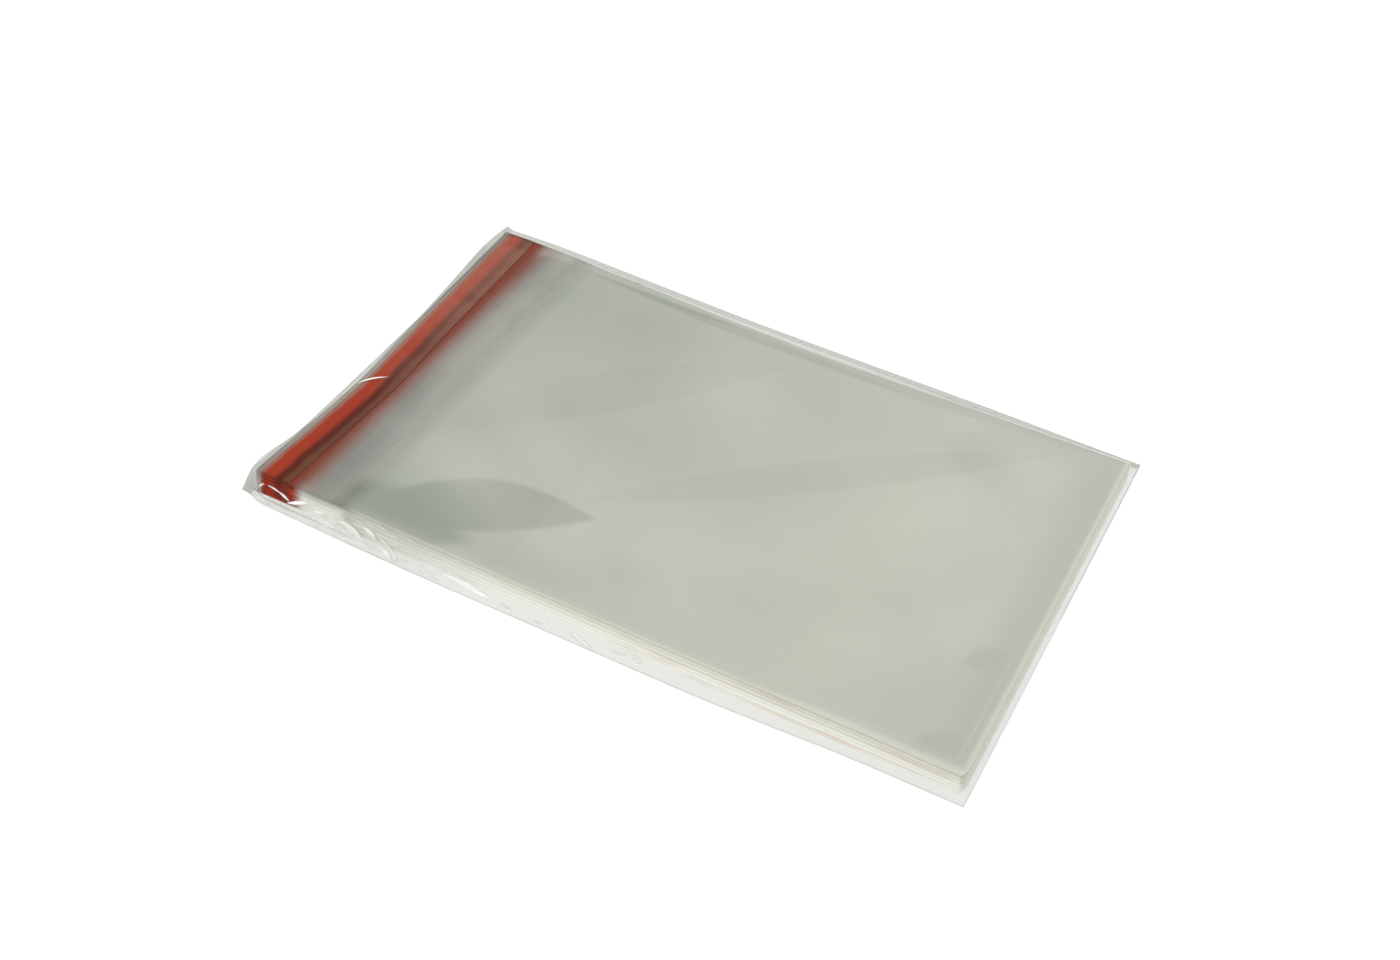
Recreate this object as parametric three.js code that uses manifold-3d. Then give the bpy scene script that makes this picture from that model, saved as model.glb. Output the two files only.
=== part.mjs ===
// A pack of clear self-seal poly mailer bags, lying flat.
// Millimetres. +X runs from the flaps to the bottom folds, +Y to the far side and +Z up.
// The origin is the middle of the pack's underside.

import * as THREE from "three";
import { mergeVertices } from "three/addons/utils/BufferGeometryUtils.js";
import Module from "manifold-3d";

const wasm = await Module();
wasm.setup();

// One mailer bag: a sheet folded at its bottom and welded up both sides, its back wall running on as the flap
const bagWidth = 240;
const pocketLength = 360; // from the bottom fold to the mouth
const flapLength = 45.5; // from the mouth to the flap's tip
const bagFilm = 0.06;
const sideWeldWidth = 2.5;
const adhesiveWidth = 11;
const adhesiveThickness = 0.05;
const adhesiveInset = 6; // from the flap's tip to the adhesive

// The red release liner on each flap, wider than the adhesive so that a finger can lift its inner edge
const linerWidth = 19;
const linerThickness = 0.1;
const linerInset = 3; // from the flap's tip to the liner
const linerEndInset = 0.3; // the liner is cut this much short of the bag's sides
const liftEdgeWidth = 4;
const liftEdgeRise = 0.07;

// The stack: each bag takes up one pitch of height, with air trapped in its pocket
const bagCount = 28;
const flapPitch = 0.45; // over the liners
const middlePitch = 0.345; // where the stack has settled
const foldPitch = 0.31; // at the bottom folds
const settleLength = 100; // from the mouths to where the stack has settled
const settleStart = 1; // the stack starts to settle this far past the mouths
const layerGap = 0.03;
const seatGap = 0.01; // between a liner and the adhesive that it lies on

// The bags lie a little out of line: the lowest ones reach further to the front and to the fold end
const leanAcross = 1.8;
const leanAlong = 0.5;
const strayAcross = 0.6;
const strayAlong = 0.5;
const alongSpread = (Math.sqrt(5) - 1) / 2; // irrational steps, so that no two bags stray alike
const acrossSpread = Math.SQRT2 - 1;

// The outer bag: loose film round the stack, welded into a fin on three sides, with its mouth at the flap end
const outerFilm = 0.08;
const looseness = 0.6; // air between the stack and the outer film
const sideFinWidth = 5;
const endFinWidth = 2;
const lipLength = 3; // the two lips of the mouth come together over this length
const lipGap = 0.3; // the mouth is left open this much
const endGap = 0.3; // height left inside where the end fin starts
const rippleDepth = 0.5; // slack that stands out along the sides
const rippleLength = 80;
const stationSpacing = 20; // between the outer bag's cross-sections
const lipSteps = 8; // straight steps between two points of the lip line
const frontBulge = 3; // the slack film spreads this much further on the floor along the front

// The lips and the side fins hang between the floor and the stack's top. Their heights are shares of the
// stack's height at the flaps, and a fin comes down to the floor along a share of the pack's length.
// The lips also stand out in two soft ears, here in millimetres past the shortest lip.
const lipLine = [
  { across: -1, height: 0.32, ear: 2.5 },
  { across: -0.88, height: 0.8, ear: 5.5 },
  { across: -0.6, height: 0.7, ear: 1.5 },
  { across: 0, height: 0.6, ear: 1.5 },
  { across: 0.5, height: 0.68, ear: 4 },
  { across: 0.87, height: 0.97, ear: 7 },
  { across: 1, height: 1.12, ear: 1 },
];
const frontFin = { sign: -1, reach: 0.31, bend: 1.6, lean: leanAcross, bulge: frontBulge };
const backFin = { sign: 1, reach: 1, bend: 1.35, lean: -leanAcross, bulge: 0 };

// Where along the pack the front's slack begins and ends, as shares of the outer bag's length
const bulgeStart = [0, 0.03];
const bulgeEnd = [0.65, 0.9];

const bagLength = pocketLength + flapLength;
const tipX = -bagLength / 2;
const foldX = bagLength / 2;
const mouthX = tipX + flapLength;
const reachAlong = Math.abs(leanAlong) + strayAlong;
const reachAcross = Math.abs(leanAcross) + strayAcross;
const stackFloor = outerFilm + layerGap;

// Height that one bag takes up at a place along the pack.
const pitchStart = mouthX + reachAlong + settleStart;
const pitchSettled = pitchStart + settleLength;

function pitchAt(x) {
  if (x < pitchStart) return flapPitch;
  if (x < pitchSettled) {
    return THREE.MathUtils.mapLinear(x, pitchStart, pitchSettled, flapPitch, middlePitch);
  }
  return THREE.MathUtils.mapLinear(x, pitchSettled, foldX, middlePitch, foldPitch);
}

const stackTop = (x) => stackFloor + bagCount * pitchAt(x);

// Where a bag lies: the lean runs from the lowest bag to the highest, and each strays a little from it.
function placeOf(index) {
  const lean = bagCount > 1 ? 1 - (2 * index) / (bagCount - 1) : 0;
  const stray = (spread) => 2 * ((index * spread) % 1) - 1;
  return {
    along: leanAlong * lean + strayAlong * stray(alongSpread),
    across: -leanAcross * lean + strayAcross * stray(acrossSpread),
  };
}

const materials = {
  mailerFilm: new THREE.MeshStandardMaterial({
    color: 0xc4c8ba,
    roughness: 0.22,
    metalness: 0,
    transparent: true,
    opacity: 0.55,
  }),
  redLiner: new THREE.MeshStandardMaterial({ color: 0xb23a22, roughness: 0.45, metalness: 0 }),
  outerFilm: new THREE.MeshStandardMaterial({
    color: 0xe9ebe6,
    roughness: 0.12,
    metalness: 0,
    transparent: true,
    opacity: 0.3,
  }),
};

function solidOf(geometry) {
  const bare = geometry.clone();
  bare.deleteAttribute("normal");
  bare.deleteAttribute("uv");
  const merged = mergeVertices(bare, 1e-4);
  return new wasm.Manifold(
    new wasm.Mesh({
      numProp: 3,
      vertProperties: merged.attributes.position.array,
      triVerts: new Uint32Array(merged.index.array),
    }),
  );
}

function geometryOf(solid) {
  const mesh = solid.getMesh();
  const geometry = new THREE.BufferGeometry();
  geometry.setAttribute("position", new THREE.BufferAttribute(mesh.vertProperties, 3));
  geometry.setIndex(new THREE.BufferAttribute(mesh.triVerts, 1));
  geometry.computeVertexNormals();
  return geometry;
}

// Extrudes an outline drawn in X and Z along Y, centred on the bag's middle line.
function extrudeAcross(outline, width) {
  const shape = new THREE.Shape(outline.map(([x, z]) => new THREE.Vector2(x, z)));
  const geometry = new THREE.ExtrudeGeometry(shape, { depth: width, bevelEnabled: false });
  geometry.translate(0, 0, -width / 2);
  geometry.rotateX(Math.PI / 2);
  return geometry;
}

// Half a circle that turns a wall back over itself at the bottom fold.
function foldArc(x, z, radius) {
  const steps = 4;
  const points = [];
  for (let step = 1; step < steps; step++) {
    const angle = -Math.PI / 2 + (Math.PI * step) / steps;
    points.push([x + radius * Math.cos(angle), z + radius * Math.sin(angle)]);
  }
  return points;
}

// Outline of a bag's two walls taken in by an inset, from startX round the fold and back to startX.
function hairpin(index, along, startX, inset) {
  const under = (x) => stackFloor + index * pitchAt(x + along) + inset;
  const over = (x) => stackFloor + (index + 1) * pitchAt(x + along) - layerGap - inset;
  const bends = [pitchStart - along, pitchSettled - along];
  const height = foldPitch - layerGap;
  const centreX = foldX - height / 2;
  const walls = [startX, ...bends, centreX];
  return [
    ...walls.map((x) => [x, under(x)]),
    ...foldArc(centreX, (under(centreX) + over(centreX)) / 2, (over(centreX) - under(centreX)) / 2),
    ...walls.reverse().map((x) => [x, over(x)]),
  ];
}

// The flap's upper side, from the mouth out to the tip, with its raised band of adhesive.
function flapTop(wallTop) {
  const outerEdge = tipX + adhesiveInset;
  const innerEdge = outerEdge + adhesiveWidth;
  return [
    [mouthX, wallTop],
    [innerEdge, wallTop],
    [innerEdge, wallTop + adhesiveThickness],
    [outerEdge, wallTop + adhesiveThickness],
    [outerEdge, wallTop],
    [tipX, wallTop],
  ];
}

function makeBag(index, place) {
  const base = stackFloor + index * flapPitch;
  const walls = hairpin(index, place.along, mouthX, 0);
  const body = [[tipX, base], ...walls.slice(1), ...flapTop(base + bagFilm)];
  const pocket = hairpin(index, place.along, mouthX - bagFilm, bagFilm);
  const solid = solidOf(extrudeAcross(body, bagWidth)).subtract(
    solidOf(extrudeAcross(pocket, bagWidth - 2 * sideWeldWidth)),
  );
  return new THREE.Mesh(geometryOf(solid), materials.mailerFilm);
}

function makeLiner(index) {
  const bottom = stackFloor + index * flapPitch + bagFilm + adhesiveThickness + seatGap;
  const top = bottom + linerThickness;
  const outerX = tipX + linerInset;
  const innerX = outerX + linerWidth;
  const liftX = innerX - liftEdgeWidth;
  const outline = [
    [outerX, bottom],
    [liftX, bottom],
    [innerX, bottom + liftEdgeRise],
    [innerX, top + liftEdgeRise],
    [liftX, top],
    [outerX, top],
  ];
  return new THREE.Mesh(extrudeAcross(outline, bagWidth - 2 * linerEndInset), materials.redLiner);
}

// The outer bag is lofted through cross-sections, from its lips to the tip of its end fin.
const packHalf = bagWidth / 2 + reachAcross + looseness;
const tipY = packHalf + sideFinWidth;
const shoulderX = foldX - leanAlong + strayAlong + looseness;
const pocketEndX = foldX + reachAlong + looseness;
const finStartX = pocketEndX + outerFilm;
const finTipX = finStartX + endFinWidth;
const lipStartX = tipX - reachAlong - looseness;
const lipEndX = lipStartX - lipLength;
const finTop = 2 * outerFilm;
const roofAt = (x) => stackTop(x) + looseness;
const flapHeight = roofAt(tipX);
const rowShares = [-0.92, -0.75, -0.4, 0, 0.4, 0.75, 0.92]; // lines of points along it, in half bag widths

const lipCurve = new THREE.CatmullRomCurve3(
  lipLine.map(({ across, height, ear }) => new THREE.Vector3(across * tipY, height * flapHeight, ear)),
).getPoints(lipLine.length * lipSteps);

// Height and ear of the closed lips at a place across the bag.
function lipAt(y) {
  const found = lipCurve.findIndex((point) => point.x >= y);
  const after = found < 0 ? lipCurve.length - 1 : Math.max(1, found);
  const a = lipCurve[after - 1];
  const b = lipCurve[after];
  const share = (y - a.x) / (b.x - a.x);
  return { height: THREE.MathUtils.lerp(a.y, b.y, share), ear: THREE.MathUtils.lerp(a.z, b.z, share) };
}

const lipHeight = (y) => lipAt(y).height;

// Height of a side fin, coming down from the lips to the floor.
function finHeight(x, fin) {
  const share = THREE.MathUtils.clamp(1 - (x - lipEndX) / (fin.reach * (finTipX - lipEndX)), 0, 1);
  return outerFilm + (lipHeight(fin.sign * tipY) - outerFilm) * share ** fin.bend;
}

// How far a side's slack spreads past the straight edge at a place along the pack.
function bulgeAt(x, fin) {
  const share = (x - lipEndX) / (finTipX - lipEndX);
  return fin.bulge * THREE.MathUtils.smoothstep(share, ...bulgeStart) *
    (1 - THREE.MathUtils.smoothstep(share, ...bulgeEnd));
}

// The film at one side of a cross-section, from its fin inwards: its skin above and below the fin, and the
// pocket's wall above and below its corner. Each is a list of points [y, z].
function sideAt(x, fin, open, closing, roof) {
  const mix = THREE.MathUtils.lerp;
  const tipZ = finHeight(x, fin);
  const wallY = packHalf + bulgeAt(x, fin);
  const cornerZ = mix(lipHeight(fin.sign * packHalf), tipZ, open);
  const topHalf = bagWidth / 2 + strayAcross + looseness - fin.lean;
  const wallAt = (z) => mix(wallY, topHalf, (z - cornerZ) / (roofAt(x) - cornerZ));
  const ripple = rippleDepth * open * closing * (0.5 + 0.5 * Math.cos((2 * Math.PI * x) / rippleLength));
  const bendZ = roof - looseness * closing;
  const middleZ = mix(cornerZ, roof, 0.5);
  const tuck = looseness * (1 - open * closing); // keeps the wall's points apart where it lies flat
  const lipped = (y, z, way) => [y, mix(lipHeight(fin.sign * y) + way * (lipGap / 2 + outerFilm), z, open)];
  const middle = lipped(wallAt(middleZ) + ripple - tuck / 3, middleZ, 1);
  const bend = lipped(wallAt(bendZ) - (2 * tuck) / 3, bendZ, 1);
  const edge = lipped(wallAt(bendZ) - looseness, roof, 1);
  const floor = lipped(wallY, 0, -1);
  const thin = outerFilm * open; // the film's thickness, measured across while the wall stands up
  const flat = outerFilm - thin; // and downwards while it lies flat
  const turned = (points) => points.map(([y, z]) => [fin.sign * y, z]);
  return {
    over: turned([
      [wallY + sideFinWidth, tipZ + outerFilm],
      [wallY + outerFilm, cornerZ + outerFilm],
      middle,
      bend,
      edge,
    ]),
    under: turned([
      [wallY + sideFinWidth, tipZ - outerFilm],
      [wallY + outerFilm, cornerZ - outerFilm],
      floor,
    ]),
    pocketOver: turned([
      [wallY, cornerZ],
      [middle[0] - thin, middle[1] - flat],
      [bend[0] - thin, bend[1] - flat - thin / 2],
      [edge[0] - thin / 2, edge[1] - outerFilm],
    ]),
    pocketUnder: turned([[floor[0] - thin, floor[1] + outerFilm]]),
  };
}

// One whole cross-section. Its skin and its pocket go over the top from front to back and home underneath.
function sectionAt(x) {
  const open = THREE.MathUtils.clamp((x - lipEndX) / lipLength, 0, 1);
  const closing = THREE.MathUtils.clamp((pocketEndX - x) / (pocketEndX - shoulderX), 0, 1);
  const lowest = endGap + finTop;
  const roof = lowest + (roofAt(x) - lowest) * closing;
  const front = sideAt(x, frontFin, open, closing, roof);
  const back = sideAt(x, backFin, open, closing, roof);
  const row = (full, way, inset) =>
    rowShares.map((share) => {
      const y = (share * bagWidth) / 2;
      const lip = lipHeight(y) + way * (lipGap / 2 + outerFilm);
      return [y, THREE.MathUtils.lerp(lip, full, open) - way * inset];
    });
  return {
    x,
    shift: (y) => -lipAt(y).ear * (1 - open), // the ears stand out where the lips close
    over: [...front.over, ...row(roof, 1, 0), ...back.over.reverse()],
    under: [...back.under, ...row(0, -1, 0).reverse(), ...front.under.reverse()],
    pocket: [
      ...front.pocketOver,
      ...row(roof, 1, outerFilm),
      ...back.pocketOver.reverse(),
      ...back.pocketUnder,
      ...row(0, -1, outerFilm).reverse(),
      ...front.pocketUnder.reverse(),
    ],
  };
}

// Past the pocket the two films lie welded together on the floor.
function weldedAt(x, { over, under }) {
  return { x, shift: () => 0, over: over.map(([y]) => [y, finTop]), under: under.map(([y]) => [y, 0]) };
}

function makeOuterBag() {
  const spans = Math.max(1, Math.round((shoulderX - lipStartX) / stationSpacing));
  const stations = [lipEndX, lipEndX + lipLength / 3, lipEndX + (2 * lipLength) / 3];
  for (let span = 0; span <= spans; span++) {
    stations.push(lipStartX + ((shoulderX - lipStartX) * span) / spans);
  }
  stations.push((shoulderX + pocketEndX) / 2, pocketEndX);
  const sections = stations.map(sectionAt);
  const last = sections[sections.length - 1];
  const skins = [...sections, weldedAt(finStartX, last), weldedAt(finTipX, last)];

  const positions = [];
  const faces = [];
  const place = (x, shift, ring) => ring.map(([y, z]) => positions.push(x + shift(y), y, z) / 3 - 1);
  const skinRings = skins.map(({ x, shift, over, under }) => place(x, shift, [...over, ...under]));
  const pocketRings = sections.map(({ x, shift, pocket }) => place(x, shift, pocket));

  const loft = (rings, inwards) => {
    for (let ring = 1; ring < rings.length; ring++) {
      const a = rings[ring - 1];
      const b = rings[ring];
      a.forEach((_, index) => {
        const next = (index + 1) % a.length;
        const quad = [a[index], b[index], b[next], a[next]];
        if (inwards) quad.reverse();
        faces.push(quad[0], quad[1], quad[2], quad[0], quad[2], quad[3]);
      });
    }
  };
  loft(skinRings, false);
  loft(pocketRings, true);

  // Flat caps: the cut edge of the film round the mouth, the pocket's end and the tip of the end fin.
  const cap = (rings, facing) => {
    const flat = rings.flat();
    const corners = flat.map((v) => new THREE.Vector2(positions[3 * v + 1], positions[3 * v + 2]));
    const [contour, ...holes] = rings.map((ring) => ring.map((v) => corners[flat.indexOf(v)]));
    THREE.ShapeUtils.triangulateShape(contour, holes).forEach(([a, b, c]) => {
      const turn = Math.sign(THREE.ShapeUtils.area([corners[a], corners[b], corners[c]]));
      faces.push(flat[a], ...(turn === facing ? [flat[b], flat[c]] : [flat[c], flat[b]]));
    });
  };
  cap([skinRings[0], pocketRings[0]], -1);
  cap([pocketRings[pocketRings.length - 1]], -1);
  cap([skinRings[skinRings.length - 1]], 1);

  const geometry = new THREE.BufferGeometry();
  geometry.setAttribute("position", new THREE.Float32BufferAttribute(positions, 3));
  geometry.setIndex(faces);
  geometry.computeVertexNormals();
  return new THREE.Mesh(geometry, materials.outerFilm);
}

const pack = new THREE.Group();

const outerBag = makeOuterBag();
outerBag.name = "outer_bag";
pack.add(outerBag);

outerBag.geometry.computeBoundingBox();
const middle = outerBag.geometry.boundingBox.getCenter(new THREE.Vector3());
pack.position.set(-middle.x, -middle.y, 0);

for (let index = 0; index < bagCount; index++) {
  const number = String(index + 1).padStart(2, "0");
  const place = placeOf(index);
  const mailer = new THREE.Group();
  const bag = makeBag(index, place);
  const liner = makeLiner(index);
  bag.name = `bag_${number}`;
  liner.name = `liner_${number}`;
  mailer.position.set(place.along, place.across, 0);
  mailer.add(bag, liner);
  pack.add(mailer);
}

export default pack;
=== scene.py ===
import math

import bpy
import numpy as np
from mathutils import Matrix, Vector, noise


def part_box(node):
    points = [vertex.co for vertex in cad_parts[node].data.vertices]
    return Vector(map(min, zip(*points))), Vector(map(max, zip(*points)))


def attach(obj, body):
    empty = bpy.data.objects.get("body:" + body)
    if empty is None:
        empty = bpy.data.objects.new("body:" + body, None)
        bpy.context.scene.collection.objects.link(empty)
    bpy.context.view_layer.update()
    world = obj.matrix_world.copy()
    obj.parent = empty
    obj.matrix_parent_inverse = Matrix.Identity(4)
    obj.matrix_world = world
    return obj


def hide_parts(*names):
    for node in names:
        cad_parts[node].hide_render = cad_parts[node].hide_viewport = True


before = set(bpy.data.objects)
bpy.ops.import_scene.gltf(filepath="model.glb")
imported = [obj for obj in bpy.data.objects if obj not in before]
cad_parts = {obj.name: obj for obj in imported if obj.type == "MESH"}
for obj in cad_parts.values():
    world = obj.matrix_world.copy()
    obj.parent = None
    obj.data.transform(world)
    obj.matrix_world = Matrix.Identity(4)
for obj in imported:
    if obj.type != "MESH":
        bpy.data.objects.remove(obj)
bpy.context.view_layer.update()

mm = 0.001    # sizes are written in millimetres and built in metres
scene = bpy.context.scene


def step(text):
    print("mailer pack: " + text, flush=True)


# The view: level, about 45 degrees down, and 29 degrees round from the front towards the folds

view = {
    "target": (4.07, 1.72, 0.0),    # mm
    "azimuth": 28.72,
    "elevation": 44.52,
    "distance": 903.8,
    "focalLength": 42.77,
    "sensorWidth": 36.0,
    "clip": (0.01, 20),    # metres
}


def makeCamera():
    data = bpy.data.cameras.new("camera")
    data.lens = view["focalLength"]
    data.sensor_width = view["sensorWidth"]
    data.clip_start, data.clip_end = view["clip"]
    camera = bpy.data.objects.new("camera", data)
    scene.collection.objects.link(camera)
    turn, rise = math.radians(view["azimuth"]), math.radians(view["elevation"])
    back = Vector((math.sin(turn) * math.cos(rise), -math.cos(turn) * math.cos(rise), math.sin(rise)))
    camera.location = (Vector(view["target"]) + back * view["distance"]) * mm
    camera.rotation_euler = back.to_track_quat("Z", "Y").to_euler()
    scene.camera = camera


# Node helpers

def newMaterial(name):
    material = bpy.data.materials.new(name)
    material.use_nodes = True
    tree = material.node_tree
    return material, tree, tree.nodes["Principled BSDF"]


def addNode(tree, kind, **settings):
    node = tree.nodes.new("ShaderNode" + kind)
    for key, value in settings.items():
        setattr(node, key, value)
    return node


def feed(tree, socket, value):
    if isinstance(value, bpy.types.NodeSocket):
        tree.links.new(value, socket)
    elif isinstance(value, tuple) and len(value) == 3 and socket.type == "RGBA":
        socket.default_value = (*value, 1)
    elif value is not None:
        socket.default_value = value


def fill(tree, node, values):
    for name, value in values.items():
        feed(tree, node.inputs[name], value)


def mathNode(tree, operation, a, b=None):
    node = addNode(tree, "Math", operation=operation)
    feed(tree, node.inputs[0], a)
    feed(tree, node.inputs[1], b)
    return node.outputs[0]


def chain(tree, operation, result, *others):
    for other in others:
        result = mathNode(tree, operation, result, other)
    return result


def plus(tree, *values):
    return chain(tree, "ADD", *values)


def minus(tree, a, b):
    return mathNode(tree, "SUBTRACT", a, b)


def times(tree, *values):
    return chain(tree, "MULTIPLY", *values)


def largest(tree, *values):
    return chain(tree, "MAXIMUM", *values)


def distance(tree, a, b):
    return mathNode(tree, "ABSOLUTE", minus(tree, a, b))


def rampNode(tree, value, low, high, start=0.0, end=1.0, kind="SMOOTHSTEP"):
    node = addNode(tree, "MapRange", interpolation_type=kind)
    for socket, given in zip(node.inputs, (value, low, high, start, end)):
        feed(tree, socket, given)
    return node.outputs["Result"]


def lineNode(tree, value, low, high, start=0.0, end=1.0):
    return rampNode(tree, value, low, high, start, end, "LINEAR")


def fadeNode(tree, value, low, high):
    return rampNode(tree, value, low, high, 1.0, 0.0)


def mixColour(tree, factor, a, b):
    node = addNode(tree, "Mix", data_type="RGBA")
    feed(tree, node.inputs["Factor"], factor)
    feed(tree, node.inputs[6], a)
    feed(tree, node.inputs[7], b)
    return node.outputs[2]


# Lays tones of a look over one another, each by its own share
def laid(tree, tone, look, shares):
    for name, share in shares.items():
        tone = mixColour(tree, share, tone, look[name])
    return tone


def noiseNode(tree, place, stretch, detail=2.0, rough=0.5):
    stretched = addNode(tree, "VectorMath", operation="MULTIPLY")
    feed(tree, stretched.inputs[0], place)
    feed(tree, stretched.inputs[1], stretch)
    node = addNode(tree, "TexNoise")
    fill(tree, node, {"Vector": stretched.outputs[0], "Scale": 1.0, "Detail": detail, "Roughness": rough})
    return node.outputs["Fac"]


def markNode(tree, name):
    return addNode(tree, "Attribute", attribute_name=name).outputs["Fac"]


def millimetres(tree):
    node = addNode(tree, "VectorMath", operation="SCALE")
    feed(tree, node.inputs[0], addNode(tree, "TexCoord").outputs["Object"])
    node.inputs["Scale"].default_value = 1 / mm
    return node.outputs[0]


def axes(tree, vector):
    node = addNode(tree, "SeparateXYZ")
    feed(tree, node.inputs[0], vector)
    return node.outputs[0], node.outputs[1], node.outputs[2]


def shade(red, green, blue):
    linear = (v / 255 for v in (red, green, blue))
    return tuple(v / 12.92 if v <= 0.04045 else ((v + 0.055) / 1.055) ** 2.4 for v in linear)


# The studio

studio = {
    "worldStrength": 0.62,
    "floorSize": 6,    # metres
    "floorAlbedo": 0.4,
    "floorGlow": 0.7,
    "lamps": {    # place and size in metres, power in watts
        "keyLamp": {"place": (-0.5, -1.0, 1.3), "size": (0.9, 0.25), "power": 6.0},
        "sideLamp": {"place": (-1.3, -0.3, 0.9), "size": (0.2, 0.9), "power": 4.0},
        "backLamp": {"place": (0.3, 1.3, 1.2), "size": (1.2, 0.6), "power": 4.0},
    },
}


def seenDirectly(tree):
    path = addNode(tree, "LightPath").outputs
    return largest(tree, path["Is Camera Ray"], path["Is Transmission Ray"], path["Is Glossy Ray"])


def makeLamp(name, place, size, power):
    data = bpy.data.lights.new(name, "AREA")
    data.shape = "RECTANGLE"
    data.size, data.size_y = size
    data.energy = power
    lamp = bpy.data.objects.new(name, data)
    scene.collection.objects.link(lamp)
    lamp.location = place
    lamp.rotation_euler = Vector(place).to_track_quat("Z", "Y").to_euler()


def makeStudio():
    world = bpy.data.worlds.new("studio")
    scene.world = world
    world.use_nodes = True
    tree = world.node_tree
    strength = lineNode(tree, seenDirectly(tree), 0.0, 1.0, studio["worldStrength"], 1.0)
    fill(tree, tree.nodes["Background"], {"Color": (1, 1, 1), "Strength": strength})

    bpy.ops.mesh.primitive_plane_add(size=studio["floorSize"], location=(0, 0, 0))
    floor = bpy.context.object
    floor.name = "floor"
    material, tree, shader = newMaterial("floorPaper")
    fill(tree, shader, {
        "Base Color": (studio["floorAlbedo"],) * 3,
        "Roughness": 0.9,
        "Specular IOR Level": 0.1,
        "Emission Color": (1, 1, 1),
        "Emission Strength": times(tree, seenDirectly(tree), studio["floorGlow"]),
    })
    floor.data.materials.append(material)
    for name, lamp in studio["lamps"].items():
        makeLamp(name, **lamp)


# The stack, in millimetres from its own middle. Its sizes are those of the frame's solids

stack = {
    "bags": 28,
    "bagLength": 405.5,
    "flapLength": 45.5,
    "bagWidth": 240.0,
    "film": 0.06,
    "weld": 2.5,
    "adhesive": (6.0, 17.0, 0.05),    # from the flap's tip to its two edges, and its thickness
    "linerInset": 3.0,
    "linerWidth": 19.0,
    "linerThickness": 0.1,
    "linerGap": 0.01,
    "layerGap": 0.03,
    "floor": 0.11,
    "middlePitch": 0.345,
    "reach": 1.0,    # the bags stray this far along
    "settleFrom": 1.0,
    "settleOver": 100.0,
    # along, and where the top begins to sag towards the back there
    "backEdge": [(-133, 121.0), (-60, 118.0), (8, 115.3), (132, 113.8)],
    "sag": 0.68,
    "sagBetween": (121.0, 115.0),    # the sag grows from nothing to its full depth as that edge moves in
    "edgeRoom": 0.8,
    "flare": 4.0,    # the flaps spread this much further back than the pockets
    "flareAcross": (40.0, 121.0),
    "flareAlong": (40.0, 12.0),    # from past the mouth to this far from the flaps' tips
    # across, and how far the flaps reach out past a straight edge there
    "bow": [(-120, 3.4), (-77, 0.8), (-29, -1.2), (17, 1.2), (68, 2.9), (120, 4.4)],
    "bowAlong": (2.0, 20.0),    # from past the mouth to this far before it
    "bowScale": 5.0,    # mm of bow for half the height of the shader's curve
    "smoothing": 150,
}
outer = {
    "film": 0.08,
    "looseness": 0.6,
    "sideFin": 5.0,
    "endFin": 2.0,
    "lip": 3.0,
    "lipGap": 0.3,
    "half": 123.0,    # from the middle line to the pocket's wall
    "tops": (119.4, 123.0),    # the roof's half widths, front and back
    "bulge": 3.0,
    "bulgeFrom": (0.0, 0.03),    # as shares of the length, from the lips on
    "bulgeTo": (0.65, 0.9),
    "backSpread": (3.8, 90.0),    # the back wall stands out this much at the lips, and over this length
    "finReach": (0.31, 1.0),    # the shares of the length over which the front and back fin come down
    "finBend": (1.6, 1.35),
    # along, and how much narrower the back fin is there
    "backFin": [(-150, 0), (-90, 0.7), (-30, 1.3), (15, 0.9), (60, 0.3), (120, 0), (160, 0.6), (205, 1.5)],
    "lips": [    # across, height as a share of the flaps' height, and ear in millimetres
        (-1.0, 0.32, 2.5), (-0.88, 0.8, 6.3), (-0.62, 0.7, -1.2), (-0.1, 0.6, -1.2),
        (0.2, 0.63, 0.8), (0.5, 0.68, 3.0), (0.87, 0.97, 4.6), (1.0, 1.12, 0.3),
    ],
    "shoulder": (0.62, 0.6),    # at the back, as shares out from the roof's edge and up from the fin
    "flatInset": 8.0,    # the roof and the underside are flat this far from their edges
    "finLift": 0.02,
    "rowsChange": (-106, 40, 190),    # along: the mesh's rows lie closest before the first of these
    "overSteps": (10, 34, 8, 26, 8, 8, 7, 6),    # the mesh's columns between the points of its two sections
    "underSteps": (3, 4, 3, 5, 3, 6, 3),
    "frontRound": (8, 2, 58),    # rounds of smoothing, and the columns they take in
    "backRound": (5, 72),
    "underRound": (2, 2),
}

_, outerHigh = (np.array(corner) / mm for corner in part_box("outer_bag"))
tipX, foldX = -stack["bagLength"] / 2, stack["bagLength"] / 2
mouthX = tipX + stack["flapLength"]
pocketEndX = foldX + stack["reach"] + outer["looseness"]
finTipX = pocketEndX + outer["film"] + outer["endFin"]
lipStartX = tipX - stack["reach"] - outer["looseness"]
lipEndX = lipStartX - outer["lip"]
tipY = outer["half"] + outer["sideFin"]
middle = np.array([outerHigh[0] - finTipX, outerHigh[1] - tipY, 0.0])    # the stack's middle in the frame

lastBag = stack["bags"] - 1
lowLiner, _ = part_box("liner_01")
highLiner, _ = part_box(f"liner_{stack['bags']:02d}")
highBagLow, highBagHigh = (np.array(corner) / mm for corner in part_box(f"bag_{stack['bags']:02d}"))
flapPitch = (highLiner.z - lowLiner.z) / mm / lastBag
foldPitch = (highBagLow[2] - stack["floor"]) / lastBag
settleStart = mouthX + stack["reach"] + stack["settleFrom"]
settleEnd = settleStart + stack["settleOver"]


def pitchAt(x):
    return np.interp(x, [settleStart, settleEnd, foldX], [flapPitch, stack["middlePitch"], foldPitch])


def stackTop(x):
    return stack["floor"] + stack["bags"] * pitchAt(x)


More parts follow.
